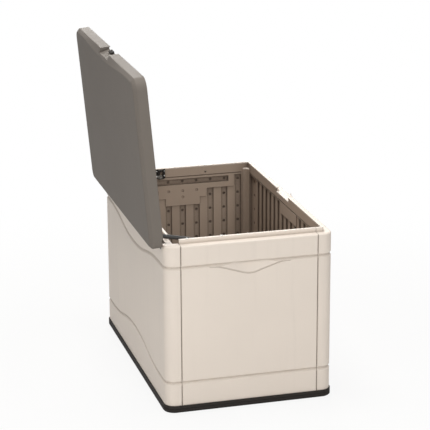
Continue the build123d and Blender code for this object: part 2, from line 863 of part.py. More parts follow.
def bevel_wedge(shift):
    """The swell of the front bevel, a ruled wedge between the shoulder and the crown."""
    half = lid_length / 2 - bevel_swell_margin
    with BuildPart() as wedge:
        for level, depth, rise in (
            (lid_shoulder, -bevel_ease, bevel_ease),
            (lid_crown, lid_bevel_inset - bevel_ease, bevel_swell),
        ):
            with BuildSketch(lid_plane(level - shift)):
                with BuildLine() as edge:
                    bell_line(half, rise, lid_front_y + depth + shift)
                    Polyline(
                        edge.line @ 1,
                        (half, lid_front_y - lid_bevel_inset),
                        (-half, lid_front_y - lid_bevel_inset),
                        edge.line @ 0,
                    )
                make_face()
        loft(ruled=True)
    return wedge.part


# Lid shell with its skirt, bevel and finger scoop, and a lip that hangs past the walls
lid_axis = Axis(lid_point(0, 0, 0), lid_up)
with BuildPart() as lid_hollow:
    with BuildSketch(lid_plane(lid_bottom)):
        lid_outline(lid_skin)
    extrude(amount=lid_skirt)
    with BuildSketch(lid_plane(lid_shoulder)):
        lid_outline(lid_skin)
    extrude(amount=lid_bevel_height - lid_skin, taper=lid_taper)
    add(scoop_prism(lid_skin), mode=Mode.SUBTRACT)
    add(bevel_wedge(lid_skin), mode=Mode.SUBTRACT)

with BuildPart() as lid_top:
    with BuildSketch(lid_plane(lid_bottom)):
        lid_outline(0)
    extrude(amount=lid_skirt)
    with BuildSketch(lid_plane(lid_shoulder)):
        lid_outline(0)
    extrude(amount=lid_bevel_height, taper=lid_taper)
    fillet(lid_top.faces().sort_by(lid_axis)[-1].edges(), lid_crown_round)
    shoulder = (lid_shoulder - fit_gap, lid_shoulder + fit_gap)
    fillet(lid_top.edges().filter_by_position(lid_axis, *shoulder), lid_shoulder_round)
    add(bevel_wedge(0), mode=Mode.SUBTRACT)
    add(lid_hollow.part, mode=Mode.SUBTRACT)
    with BuildSketch(lid_plane(lid_bottom)):
        lid_outline(0)
        lid_outline(lid_lip_width, mode=Mode.SUBTRACT)
        span(-lid_length, lid_length, lid_back_y - lid_corner, lid_back_y, mode=Mode.SUBTRACT)
    extrude(amount=-lid_lip)
    add(scoop_prism(0), mode=Mode.SUBTRACT)
write(lid_top, "lid_top")

# Lid liner: a flange inside the skirt, a wall and the pan with its ribs
rib_reach = lid_depth - 2 * (lid_rim_width + strut_lid_inset)
with BuildPart() as lid_liner:
    with BuildSketch(lid_plane(lid_bottom)):
        lid_outline(lid_skin + fit_gap)
        lid_outline(lid_rim_width, mode=Mode.SUBTRACT)
    extrude(amount=lid_liner_skin)
    with BuildSketch(lid_plane(lid_bottom)):
        lid_outline(lid_rim_width - lid_liner_skin)
        lid_outline(lid_rim_width, mode=Mode.SUBTRACT)
    extrude(amount=lid_pan_depth)
    with BuildSketch(lid_plane(pan_z)):
        lid_outline(lid_rim_width - lid_liner_skin)
    extrude(amount=lid_liner_skin)
    with BuildSketch(lid_plane(pan_z)):
        with Locations((0, lid_mid_y)):
            with GridLocations((lid_length - 6 * lid_corner) / lid_rib_count, 0, lid_rib_count, 1):
                SlotOverall(rib_reach, lid_rib_width, rotation=90)
    extrude(amount=-lid_rib_drop)
    add(scoop_prism(lid_skin + fit_gap), mode=Mode.SUBTRACT)
write(lid_liner, "lid_liner")

# Latch: a tongue in the scoop and a catch post on the rim below it
scoop_slope = (scoop_head - scoop_foot) / (lid_crown - lid_bottom)
tongue_low = lid_bottom + tongue_lift
tongue_back = lid_front_y + scoop_foot + tongue_lift * scoop_slope
catch_y = tongue_back - tongue_wall - catch_hole

with BuildPart() as latch_tongue:
    with BuildSketch(lid_section(-tongue_width / 2)):
        with BuildLine():
            Polyline(
                (lid_front_y + tongue_front, tongue_low),
                (tongue_back, tongue_low),
                (tongue_back + tongue_height * scoop_slope, tongue_low + tongue_height),
                (lid_front_y + tongue_front + tongue_height / 3, tongue_low + tongue_height),
                close=True,
            )
        make_face()
    extrude(amount=tongue_width)
    with BuildSketch(lid_plane(tongue_low)):
        with Locations((0, catch_y)):
            SlotCenterToCenter(catch_hole, 2 * catch_hole)
    extrude(amount=tongue_height - tongue_lift, mode=Mode.SUBTRACT)
write(latch_tongue, "latch_tongue")

with BuildPart() as latch_catch:
    with BuildSketch(Plane.XY.offset(rim_height)):
        with Locations((0, catch_y - catch_radius + catch_plate_depth / 2)):
            RectangleRounded(catch_plate_width, catch_plate_depth, catch_plate_depth / 4)
    extrude(amount=catch_plate)
    with BuildSketch(Plane.XY.offset(rim_height)):
        with Locations((0, catch_y)):
            Circle(catch_radius)
    extrude(amount=catch_height)
    chamfer(latch_catch.faces().sort_by(Axis.Z)[-1].edges(), catch_radius / 4)
write(latch_catch, "latch_catch")


def layer(way, near, far):
    """The X where a layer starts, measured from an end liner's face, and its thickness."""
    return min(way * (cavity_x - near), way * (cavity_x - far)), far - near


def strut_section(x):
    """The upright plane of a strut at x, its first axis along the strut from the wall pivot."""
    return Plane(origin=(x, wall_pivot.Y, wall_pivot.Z), x_dir=strut_dir, z_dir=(1, 0, 0))


def strut_across(way, along):
    """The plane square to a strut at a distance from the wall pivot."""
    middle = wall_pivot + strut_dir * along
    return Plane(
        origin=(way * (cavity_x - strut_offset), middle.Y, middle.Z), x_dir=(1, 0, 0), z_dir=strut_dir
    )


eye_near = strut_offset - eye_thickness / 2
eye_far = strut_offset + eye_thickness / 2

for side, way in sides.items():
    eye_x, eye_thick = layer(way, eye_near, eye_far)

    with BuildPart() as wall_bracket:
        plate_x, plate_thick = layer(way, bracket_far - bracket_plate, bracket_far)
        with BuildSketch(Plane.YZ.offset(plate_x)):
            span(
                bracket_inner_low - bracket_cheek,
                bracket_inner_high + bracket_cheek,
                bracket_z,
                bracket_z + bracket_height,
            )
            SlotCenterPoint(
                (wall_pivot.Y + drift_far[0] / 2, wall_pivot.Z + drift_far[1] / 2),
                (wall_pivot.Y + drift_far[0], wall_pivot.Z + drift_far[1]),
                2 * slot_half,
                mode=Mode.SUBTRACT,
            )
        extrude(amount=plate_thick)
        cheek_x, cheek_thick = layer(way, 0, bracket_far - bracket_plate)
        with BuildSketch(Plane.YZ.offset(cheek_x)):
            span(
                bracket_inner_low - bracket_cheek,
                bracket_inner_low,
                bracket_z,
                bracket_z + bracket_height,
            )
            span(
                bracket_inner_high,
                bracket_inner_high + bracket_cheek,
                bracket_z,
                bracket_z + bracket_height,
            )
        extrude(amount=cheek_thick)
        foot_x, foot_thick = layer(way, 0, bracket_cheek)
        with BuildSketch(Plane.YZ.offset(foot_x)):
            span(
                bracket_inner_low - bracket_cheek - bracket_foot,
                bracket_inner_low - bracket_cheek,
                bracket_z,
                bracket_z + bracket_height,
            )
            span(
                bracket_inner_high + bracket_cheek,
                bracket_inner_high + bracket_cheek + bracket_foot,
                bracket_z,
                bracket_z + bracket_height,
            )
        extrude(amount=foot_thick)
    write(wall_bracket, f"strut_wall_bracket_{side}")

    with BuildPart() as rod_stud:
        head_near = bracket_far - bracket_plate - 2 * side_gap - stud_head
        head_x, head_thick = layer(way, head_near, head_near + stud_head)
        with BuildSketch(strut_section(head_x)):
            Circle(stud_head_radius)
        extrude(amount=head_thick)
        shank_x, shank_thick = layer(way, head_near + stud_head, eye_far)
        with BuildSketch(strut_section(shank_x)):
            Circle(stud_radius)
        extrude(amount=shank_thick)
    write(rod_stud, f"strut_rod_stud_{side}")

    with BuildPart() as rod_eye:
        with BuildSketch(strut_section(eye_x)):
            Circle(eye_radius)
            span(0, eye_neck, -neck_width / 2, neck_width / 2)
            Circle(stud_radius + running_gap, mode=Mode.SUBTRACT)
        extrude(amount=eye_thick)
    write(rod_eye, f"strut_rod_eye_{side}")

    with BuildPart() as rod:
        with BuildSketch(strut_across(way, eye_neck)):
            Circle(rod_radius)
        extrude(amount=rod_length)
        chamfer(rod.edges().sort_by(Axis.Y)[-1], rod_radius / 4)
    write(rod, f"strut_rod_{side}")

    with BuildPart() as guide:
        with BuildSketch(strut_across(way, tube_mouth - guide_flange)):
            Circle(tube_radius)
        extrude(amount=guide_flange)
        with BuildSketch(strut_across(way, tube_mouth)):
            Circle(tube_bore - running_gap)
        extrude(amount=guide_length)
        with BuildSketch(strut_across(way, tube_mouth - guide_flange)):
            Circle(rod_radius + running_gap)
        extrude(amount=guide_flange + guide_length, mode=Mode.SUBTRACT)
    write(guide, f"strut_guide_{side}")

    with BuildPart() as tube:
        with BuildSketch(strut_across(way, tube_mouth)):
            Circle(tube_radius)
        extrude(amount=tube_length)
        chamfer(tube.edges().sort_by(Axis.Y)[-1], tube_radius / 6)
        with BuildSketch(strut_across(way, tube_mouth)):
            Circle(tube_bore)
        extrude(amount=tube_length - tube_cap, mode=Mode.SUBTRACT)
    write(tube, f"strut_tube_{side}")

    with BuildPart() as tube_eye:
        with BuildSketch(strut_section(eye_x)):
            with Locations((strut_length, 0)):
                Circle(eye_radius)
            span(tube_end, strut_length, -neck_width / 2, neck_width / 2)
            with Locations((strut_length, 0)):
                Circle(lid_stud_radius + running_gap, mode=Mode.SUBTRACT)
        extrude(amount=eye_thick)
    write(tube_eye, f"strut_tube_eye_{side}")

    leg_near = eye_far + side_gap
    leg_far = leg_near + lid_bracket_leg
    with BuildPart() as lid_bracket:
        leg_x, leg_thick = layer(way, leg_near, leg_far)
        with BuildSketch(lid_section(leg_x)):
            with Locations((lid_pivot_y, lid_pivot_z)):
                Circle(eye_radius)
            span(lid_pivot_y - eye_radius, lid_pivot_y + eye_radius, lid_pivot_z, pan_z)
            with Locations((lid_pivot_y, lid_pivot_z)):
                Circle(lid_stud_radius + running_gap, mode=Mode.SUBTRACT)
        extrude(amount=leg_thick)
        flange_x, flange_thick = layer(way, leg_near, leg_near + lid_bracket_length)
        with BuildSketch(lid_section(flange_x)):
            span(
                lid_pivot_y - lid_bracket_half,
                lid_pivot_y + lid_bracket_half,
                pan_z - lid_bracket_leg,
                pan_z,
            )
        extrude(amount=flange_thick)
    write(lid_bracket, f"strut_lid_bracket_{side}")

    with BuildPart() as lid_stud:
        stud_x, stud_thick = layer(way, eye_near - side_gap, leg_far)
        with BuildSketch(lid_section(stud_x)):
            with Locations((lid_pivot_y, lid_pivot_z)):
                Circle(lid_stud_radius)
        extrude(amount=stud_thick)
        knob_x, knob_thick = layer(way, leg_far, leg_far + stud_head)
        with BuildSketch(lid_section(knob_x)):
            with Locations((lid_pivot_y, lid_pivot_z)):
                Circle(stud_head_radius)
        extrude(amount=knob_thick)
    write(lid_stud, f"strut_lid_stud_{side}")


def screw_heads(plane, points, radius, height, rounding):
    """Adds rounded screw heads that stand on a plane at the given points."""
    with BuildSketch(plane) as heads:
        with Locations(*points):
            Circle(radius)
    extrude(heads.sketch, amount=height - rounding)
    with BuildSketch(plane.offset(height - rounding)) as domes:
        with Locations(*points):
            Circle(radius)
    extrude(domes.sketch, amount=rounding, taper=screw_taper)


# Screws of the rim, brackets and hinges
rim_screw_x = half_length - (ledge_width + wall_depth) / 2
with BuildPart() as rim_screws:
    screw_heads(
        Plane.XY.offset(ridge_top),
        [
            (way * rim_screw_x, -way * y)
            for way in sides.values()
            for y in (rim_screw_inner, rim_screw_outer)
        ],
        screw_radius,
        screw_height,
        screw_round,
    )
write(rim_screws, "rim_screws")

foot_middles = (
    bracket_inner_low - bracket_cheek - bracket_foot / 2,
    bracket_inner_high + bracket_cheek + bracket_foot / 2,
)
with BuildPart() as wall_bracket_screws:
    for way in sides.values():
        origin = (way * (cavity_x - bracket_cheek), 0, 0)
        screw_heads(
            Plane(origin=origin, x_dir=(0, -way, 0), z_dir=(-way, 0, 0)),
            [
                (-way * y, bracket_z + share * bracket_height)
                for y in foot_middles
                for share in bracket_screw_shares
            ],
            small_screw_radius,
            small_screw_height,
            small_screw_round,
        )
write(wall_bracket_screws, "wall_bracket_screws")

with BuildPart() as lid_bracket_screws:
    origin = lid_point(0, 0, pan_z - lid_bracket_leg)
    flange_middle = cavity_x - leg_far - (lid_bracket_length - lid_bracket_leg) / 2
    screw_heads(
        Plane(origin=origin, x_dir=(-1, 0, 0), z_dir=(0, -turn_sin, -turn_cos)),
        [
            (way * flange_middle, lid_pivot_y + step * lid_bracket_half / 2)
            for way in sides.values()
            for step in (-1, 1)
        ],
        small_screw_radius,
        small_screw_height,
        small_screw_round,
    )
write(lid_bracket_screws, "lid_bracket_screws")

with BuildPart() as hinge_leaf_screws:
    face = Plane(origin=lid_point(0, lid_back_y + leaf_thickness, 0), x_dir=(-1, 0, 0), z_dir=lid_back)
    screw_heads(
        face,
        [
            (-place + step * leaf_half / 2, hinge_z + leaf_screw_share * leaf_height)
            for place in hinge_places.values()
            for step in (-1, 1)
        ],
        screw_radius,
        screw_height,
        screw_round,
    )
write(hinge_leaf_screws, "hinge_leaf_screws")

with BuildPart() as hinge_bracket_screws:
    screw_heads(
        Plane.XY.offset(pocket_floor + bracket_floor),
        [
            (place + step * leaf_half / 2, half_depth - pocket_depth / 2)
            for place in hinge_places.values()
            for step in (-1, 1)
        ],
        small_screw_radius,
        small_screw_height,
        small_screw_round,
    )
write(hinge_bracket_screws, "hinge_bracket_screws")

print(f"hinge axis y {hinge_y:.3f} z {hinge_z:.3f}")
print(f"lid pivot y {lid_pivot.Y:.3f} z {lid_pivot.Z:.3f}")
print(f"wall pivot y {wall_pivot.Y:.3f} z {wall_pivot.Z:.3f}")
print(f"strut direction {strut_dir.Y:.6f} {strut_dir.Z:.6f}")
print(f"strut length {strut_length:.3f}, stroke {strut_stroke:.3f}")
print(f"tube ratio {tube_ratio:.6f}, rod ratio {strut_stroke / 1000 / radians(open_angle):.6f}")
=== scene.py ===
import json
import math

import bmesh
import bpy
from mathutils import Matrix, Vector

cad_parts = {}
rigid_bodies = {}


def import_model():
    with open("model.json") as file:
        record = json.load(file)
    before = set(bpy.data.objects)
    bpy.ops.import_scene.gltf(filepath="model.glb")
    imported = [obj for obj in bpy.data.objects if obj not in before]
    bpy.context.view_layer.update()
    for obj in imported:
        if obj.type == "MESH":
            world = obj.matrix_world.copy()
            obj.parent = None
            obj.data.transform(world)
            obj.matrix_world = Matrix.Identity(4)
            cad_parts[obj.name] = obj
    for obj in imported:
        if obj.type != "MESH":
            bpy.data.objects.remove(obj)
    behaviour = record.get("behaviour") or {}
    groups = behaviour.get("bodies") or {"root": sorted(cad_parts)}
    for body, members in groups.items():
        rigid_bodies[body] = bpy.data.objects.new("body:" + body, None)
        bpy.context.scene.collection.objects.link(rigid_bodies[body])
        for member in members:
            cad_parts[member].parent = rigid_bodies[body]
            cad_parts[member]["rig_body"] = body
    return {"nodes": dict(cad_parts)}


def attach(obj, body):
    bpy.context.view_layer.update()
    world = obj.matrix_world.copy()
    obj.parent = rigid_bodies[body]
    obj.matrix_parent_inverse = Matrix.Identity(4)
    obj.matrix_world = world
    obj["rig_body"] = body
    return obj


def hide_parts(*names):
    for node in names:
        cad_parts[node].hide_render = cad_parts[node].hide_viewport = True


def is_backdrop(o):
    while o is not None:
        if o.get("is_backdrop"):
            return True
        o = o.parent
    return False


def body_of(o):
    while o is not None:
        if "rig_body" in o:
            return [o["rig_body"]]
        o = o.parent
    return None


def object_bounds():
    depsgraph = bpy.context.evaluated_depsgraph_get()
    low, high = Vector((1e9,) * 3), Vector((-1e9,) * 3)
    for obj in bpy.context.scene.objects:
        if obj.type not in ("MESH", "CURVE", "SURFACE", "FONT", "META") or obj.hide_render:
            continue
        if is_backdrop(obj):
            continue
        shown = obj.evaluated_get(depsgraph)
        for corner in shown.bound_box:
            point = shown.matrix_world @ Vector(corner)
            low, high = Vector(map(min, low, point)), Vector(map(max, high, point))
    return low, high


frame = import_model()

bl_info = {
    "name": "Deck storage box",
    "version": (1, 0, 0),
    "blender": (4, 5, 0),
    "location": "3D View > Sidebar > Deck box",
    "description": "Finishes, screws and studio for a deck storage box with an open lid",
    "category": "Object",
}

NODES = frame["nodes"]
CAD_LOW, CAD_HIGH = (list(corner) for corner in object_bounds())
WELD = 1e-6


def tone(red, green, blue):
    """A colour given as 0 to 255 on screen (sRGB), as the linear light that Blender works in."""
    linear = []
    for part in (red, green, blue):
        share = part / 255
        linear.append(share / 12.92 if share <= 0.04045 else ((share + 0.055) / 1.055) ** 2.4)
    return tuple(linear)


# Colour sockets of a Mix node
MIX_FIRST = 6
MIX_SECOND = 7
MIX_COLOUR = 2

# Rays that look for corners (for the painted shade) and for edges, and the usual value of noise
NOOK_SAMPLES = 6
BEVEL_SAMPLES = 4
NOISE_MIDDLE = 0.5

# Marks on moulded plastic: how noise is stretched, and where a mark starts and is full
STREAK_STRETCH = (34.0, 34.0, 2.2)
STREAK_RANGE = (0.52, 0.78)
SCUFF_STRETCH = (9.0, 11.0, 160.0)
SCUFF_RANGE = (0.66, 0.74)
EDGE_GAIN = 6.0
EDGE_RANGE = (0.15, 0.9)
RUB_SCALE = 60.0
RUB_RANGE = (0.35, 0.65)

# Grain of moulded plastic: the share of the pebbles, and how much finer the rest is
PEBBLE_SHARE = 0.7
FINE_GRAIN = 2.3

# What tone patches, scuffs and rubbing do to the roughness
DRIFT_ROUGHNESS = 0.12
SCUFF_ROUGHNESS = 0.06
RUB_SHINE = 0.08

# Paint on steel
PATCH_SCALE = 90.0
PATCH_LEVEL = 0.16
PATCH_DARKEST = 0.92
PATCH_ROUGHNESS = 0.2
CHIP_RADIUS = 0.0008
CHIP_GAIN = 8.0
CHIP_RANGE = (0.3, 1.0)
CHIP_PATCH = (0.5, 0.62)
CHIP_COLOUR = tone(150, 148, 144)
CHIP_METAL = 0.9
CHIP_SHINE = 0.1
PAINT_EDGE = 0.0006
PEEL_SCALE = 900.0
PEEL_DEPTH = 0.00004
PEEL_STRENGTH = 0.5

# Drawn steel
LINE_LEVEL = 0.2
LINE_DARKEST = 0.9
LINE_ROUGHNESS = 0.14
LINE_DEPTH = 0.00003
LINE_STRENGTH = 0.35
DULL_SCALE = 140.0
DULL_RANGE = (0.55, 0.75)
DULL_ROUGHNESS = 0.2
STEEL_ROUGHNESS = 0.22
STEEL_EDGE = 0.0005

# Colour and roughness of each paint, and colour and noise stretch of each steel
STRUT_PAINT = (tone(38, 37, 36), 0.55)
HINGE_PAINT = (tone(48, 47, 46), 0.45)
STRUT_STEEL = (tone(205, 204, 202), (900.0, 30.0, 900.0))
HINGE_STEEL = (tone(190, 188, 184), (30.0, 900.0, 900.0))
SCREW_LINES = (400.0, 400.0, 400.0)

# Screw heads: rings on the dome, then reach and height of the rings round its edge
DOME_RINGS = (0.74, 0.86)
EDGE_RINGS = ((0.94, 0.88), (0.985, 0.66), (1.0, 0.38))
SHARP_ANGLE = math.radians(38)

# Studio
SENSOR_WIDTH = 36.0
VIEW_REACH = 60.0
FLOOR_HALF = 14.0
FLOOR_CELLS = 8
FLOOR_GAP = 0.0002
FLOOR_ROUGHNESS = 0.9
FLOOR_GLOSS = 0.1
FLOOR_DRIFT = 0.02
FLOOR_DRIFT_SCALE = 0.7
WHITE = (1.0, 1.0, 1.0)


# Shader maths


class Field:
    """A value that varies over a surface. Arithmetic on it adds Math nodes to its finish."""

    def __init__(self, finish, socket):
        self.finish = finish
        self.socket = socket

    def math(self, operation, first, second):
        return self.finish.node("ShaderNodeMath", {"operation": operation}, {0: first, 1: second})

    def __add__(self, other):
        return self.math("ADD", self, other)

    def __radd__(self, other):
        return self.math("ADD", other, self)

    def __sub__(self, other):
        return self.math("SUBTRACT", self, other)

    def __rsub__(self, other):
        return self.math("SUBTRACT", other, self)

    def __mul__(self, other):
        return self.math("MULTIPLY", self, other)

    def __rmul__(self, other):
        return self.math("MULTIPLY", other, self)

    def step(self, low, high):
        """0 below low, 1 above high, and smooth between them."""
        settings = {"interpolation_type": "SMOOTHSTEP"}
        values = {"Value": self, "From Min": low, "From Max": high}
        return self.finish.node("ShaderNodeMapRange", settings, values)


class Finish:
    """The nodes of a material or a world, which start from one shader."""

    def __init__(self, owner):
        self.owner = bpy.data.materials.new(owner) if isinstance(owner, str) else owner
        self.owner.use_nodes = True
        self.tree = self.owner.node_tree
        self.shader = next(n for n in self.tree.nodes if n.type in ("BSDF_PRINCIPLED", "BACKGROUND"))

    def output(self, socket):
        """A socket of the last node."""
        last = next(n for n in self.tree.nodes if n.type.startswith("OUTPUT"))
        return last.inputs[socket]

    def seen(self):
        """1 for what the camera, a reflection or a view through glass sees."""
        names = ["Is %s Ray" % ray for ray in ("Camera", "Glossy", "Transmission")]
        camera, glossy, through = [self.node("ShaderNodeLightPath", output=name) for name in names]
        return camera.math("MAXIMUM", camera, glossy.math("MAXIMUM", glossy, through))

    def feed(self, socket, value):
        """Links a field to a socket, or sets the socket's own value."""
        if isinstance(value, Field):
            self.tree.links.new(value.socket, socket)
        elif socket.type == "RGBA":
            socket.default_value = (*value[:3], 1.0)
        else:
            socket.default_value = value

    def node(self, kind, settings=None, inputs=None, output=0):
        """Adds a node, sets it up, feeds its sockets, and gives one of its outputs."""
        made = self.tree.nodes.new(kind)
        for key, value in (settings or {}).items():
            setattr(made, key, value)
        for key, value in (inputs or {}).items():
            self.feed(made.inputs[key], value)
        return Field(self, made.outputs[output])

    def place(self, stretch=(1.0, 1.0, 1.0)):
        """The point on the piece at rest, in metres, stretched along its axes."""
        spot = self.node("ShaderNodeTexCoord", output="Object")
        return self.node("ShaderNodeVectorMath", {"operation": "MULTIPLY"}, {0: spot, 1: stretch})

    def noise(self, scale, detail=2.0, rough=0.5, stretch=(1.0, 1.0, 1.0)):
        """Noise round NOISE_MIDDLE, with a scale in a metre."""
        values = {"Vector": self.place(stretch), "Scale": scale, "Detail": detail, "Roughness": rough}
        return self.node("ShaderNodeTexNoise", inputs=values)

    def cells(self, scale):
        """Round cells: the distance from the middle of each."""
        values = {"Vector": self.place(), "Scale": scale}
        return self.node("ShaderNodeTexVoronoi", {"feature": "SMOOTH_F1"}, values)

    def mix(self, share, first, second):
        """The first colour, with a share of the second in its place."""
        values = {0: share, MIX_FIRST: first, MIX_SECOND: second}
        return self.node("ShaderNodeMix", {"data_type": "RGBA", "clamp_factor": True}, values, MIX_COLOUR)

    def dim(self, colour, level):
        """The colour with its light scaled by a level."""
        return self.node("ShaderNodeVectorMath", {"operation": "SCALE"}, {0: colour, "Scale": level})

    def nook(self, distance):
        """1 in the open and less in corners and grooves."""
        values = {"Distance": distance}
        return self.node("ShaderNodeAmbientOcclusion", {"samples": NOOK_SAMPLES}, values, "AO")

    def soft_normal(self, radius):
        """The surface normal with its edges rounded."""
        return self.node("ShaderNodeBevel", {"samples": BEVEL_SAMPLES}, {"Radius": radius})

    def edge(self, radius):
        """Above 0 along edges."""
        facing = self.node("ShaderNodeNewGeometry", output="Normal")
        values = {0: self.soft_normal(radius), 1: facing}
        return 1.0 - self.node("ShaderNodeVectorMath", {"operation": "DOT_PRODUCT"}, values, "Value")

    def bump(self, height, depth, strength, normal):
        """A normal that is tilted by a height of so many metres."""
        values = {"Height": height, "Distance": depth, "Strength": strength, "Normal": normal}
        return self.node("ShaderNodeBump", inputs=values)

    def set(self, **values):
        """Feeds the Principled shader, with spaces in its sockets' names written as underscores."""
        for key, value in values.items():
            self.feed(self.shader.inputs[key.replace("_", " ")], value)
        return self.owner


def moulded_plastic(name, look):
    """Moulded plastic: pebbled grain, tone drift, specks, streaks, scuffs, rubbed edges and painted shade
    in corners and grooves.
    """
    finish = Finish(name)
    drift = finish.noise(look.drift_scale, detail=3.0) - NOISE_MIDDLE
    speck = finish.noise(look.speck_scale) - NOISE_MIDDLE
    streak = finish.noise(1.0, detail=4.0, rough=0.6, stretch=STREAK_STRETCH).step(*STREAK_RANGE)
    scuff = finish.noise(1.0, detail=5.0, rough=0.7, stretch=SCUFF_STRETCH).step(*SCUFF_RANGE)
    level = 1.0 + drift * look.drift + speck * look.speck - streak * look.streak
    # Painted shade: how closed in each point is, from ambient occlusion, so corners and grooves darken
    nook = finish.nook(look.dirt_reach).step(look.dirt_depth, 1.0)
    edge = (finish.edge(look.edge_radius) * EDGE_GAIN).step(*EDGE_RANGE)
    rubbed = edge * finish.noise(RUB_SCALE, detail=3.0).step(*RUB_RANGE)
    plain = finish.dim(tuple(look.colour), level)
    worn = finish.mix(rubbed * look.wear, plain, look.worn_colour)
    scuffed = finish.mix(scuff * look.scuff, worn, look.worn_colour)
    # Lays the painted shade colour into corners, grooves and seams
    with_painted_shade = finish.mix((1.0 - nook) * look.dirt, scuffed, look.dirt_colour)
    fine = finish.noise(look.grain_scale * FINE_GRAIN)
    pebble = finish.cells(look.grain_scale) * PEBBLE_SHARE + fine * (1.0 - PEBBLE_SHARE)
    roughness = look.roughness + drift * DRIFT_ROUGHNESS + scuff * SCUFF_ROUGHNESS - rubbed * RUB_SHINE
    soft = finish.soft_normal(look.edge_radius)
    return finish.set(
        Base_Color=with_painted_shade,
        Roughness=roughness,
        Normal=finish.bump(pebble, look.grain_depth, look.grain_strength, soft),
        Specular_IOR_Level=look.gloss,
    )


def painted_steel(name, colour, rough):
    """Satin paint on steel, chipped to bare metal along its edges."""
    finish = Finish(name)
    patch = finish.noise(PATCH_SCALE, detail=4.0, rough=0.65)
    orange_peel = finish.noise(PEEL_SCALE, detail=1.0)
    chipped = (finish.edge(CHIP_RADIUS) * CHIP_GAIN).step(*CHIP_RANGE) * patch.step(*CHIP_PATCH)
    plain = finish.dim(colour, PATCH_DARKEST + PATCH_LEVEL * patch)
    soft = finish.soft_normal(PAINT_EDGE)
    return finish.set(
        Base_Color=finish.mix(chipped, plain, CHIP_COLOUR),
        Metallic=chipped * CHIP_METAL,
        Roughness=rough + (patch - NOISE_MIDDLE) * PATCH_ROUGHNESS - chipped * CHIP_SHINE,
        Normal=finish.bump(orange_peel, PEEL_DEPTH, PEEL_STRENGTH, soft),
    )


def bright_steel(name, colour, along):
    """Drawn steel with fine lines along one axis and a few dull marks."""
    finish = Finish(name)
    lines = finish.noise(1.0, detail=3.0, rough=0.6, stretch=along)
    dull = finish.noise(DULL_SCALE, detail=3.0).step(*DULL_RANGE)
    soft = finish.soft_normal(STEEL_EDGE)
    return finish.set(
        Base_Color=finish.dim(colour, LINE_DARKEST + LINE_LEVEL * lines),
        Metallic=1.0,
        Roughness=STEEL_ROUGHNESS + LINE_ROUGHNESS * lines + DULL_ROUGHNESS * dull,
        Normal=finish.bump(lines, LINE_DEPTH, LINE_STRENGTH, soft),
    )


def coat(material, *names):
    """Puts a finish on CAD nodes."""
    for name in names:
        slots = NODES[name].data.materials
        slots.clear()
        slots.append(material)


def nodes_named(*starts):
    """The CAD nodes whose names start with any of these words."""
    return [name for name in NODES if name.startswith(starts)]


# Settings that a user would change


class PlasticLook(bpy.types.PropertyGroup):
    """How one moulded plastic looks."""

    colour: bpy.props.FloatVectorProperty(
        name="Colour",
        description="Colour of the plastic",
        subtype="COLOR",
        size=3,
        min=0,
        max=1,
        default=tone(226, 216, 206),
    )
    worn_colour: bpy.props.FloatVectorProperty(
        name="Worn colour",
        description="Colour where it is rubbed",
        subtype="COLOR",
        size=3,
        min=0,
        max=1,
        default=tone(236, 230, 222),
    )
    # Colour of the painted shade in corners and grooves
    dirt_colour: bpy.props.FloatVectorProperty(
        name="Dirt colour",
        description="Colour of settled dirt",
        subtype="COLOR",
        size=3,
        min=0,
        max=1,
        default=tone(142, 128, 114),
    )
    roughness: bpy.props.FloatProperty(
        name="Roughness", description="How matt it is", subtype="FACTOR", min=0, max=1, default=0.55
    )
    gloss: bpy.props.FloatProperty(
        name="Gloss", description="Strength of reflections", subtype="FACTOR", min=0, max=1, default=0.3
    )
    grain_scale: bpy.props.FloatProperty(
        name="Grain scale", description="Pebbles in a metre", min=1, default=520.0
    )
    grain_depth: bpy.props.FloatProperty(
        name="Grain depth", description="Height of the pebbles", unit="LENGTH", min=0, default=0.0003
    )
    grain_strength: bpy.props.FloatProperty(
        name="Grain strength",
        description="How much the grain shows",
        subtype="FACTOR",
        min=0,
        max=1,
        default=0.22,
    )
    drift_scale: bpy.props.FloatProperty(
        name="Drift scale", description="Broad tone patches in a metre", min=0, default=4.0
    )
    drift: bpy.props.FloatProperty(
        name="Drift", description="Strength of the tone patches", min=0, default=0.08
    )
    speck_scale: bpy.props.FloatProperty(
        name="Speck scale", description="Specks in a metre", min=0, default=330.0
    )
    speck: bpy.props.FloatProperty(
        name="Speck", description="Strength of the specks", min=0, default=0.07
    )
    streak: bpy.props.FloatProperty(
        name="Streak", description="Strength of upright rain streaks", min=0, default=0.03
    )
    scuff: bpy.props.FloatProperty(
        name="Scuff", description="Strength of level scuffs", min=0, default=0.12
    )
    wear: bpy.props.FloatProperty(
        name="Wear", description="How far edges are rubbed", min=0, default=0.45
    )
    # Strength of the painted shade in corners and grooves
    dirt: bpy.props.FloatProperty(
        name="Dirt", description="Dirt in corners and grooves", min=0, default=0.45
    )
    # How closed in a corner must be to get the full painted shade
    dirt_depth: bpy.props.FloatProperty(
        name="Dirt depth",
        description="How open a corner is that gets all the dirt",
        min=0,
        max=1,
        default=0.6,
    )
    # How far the painted shade reaches out from a corner
    dirt_reach: bpy.props.FloatProperty(
        name="Dirt reach",
        description="How far dirt spreads from a corner",
        unit="LENGTH",
        min=0,
        default=0.012,
    )
    edge_radius: bpy.props.FloatProperty(
        name="Edge radius", description="Rounding of moulded edges", unit="LENGTH", min=0, default=0.0014
    )


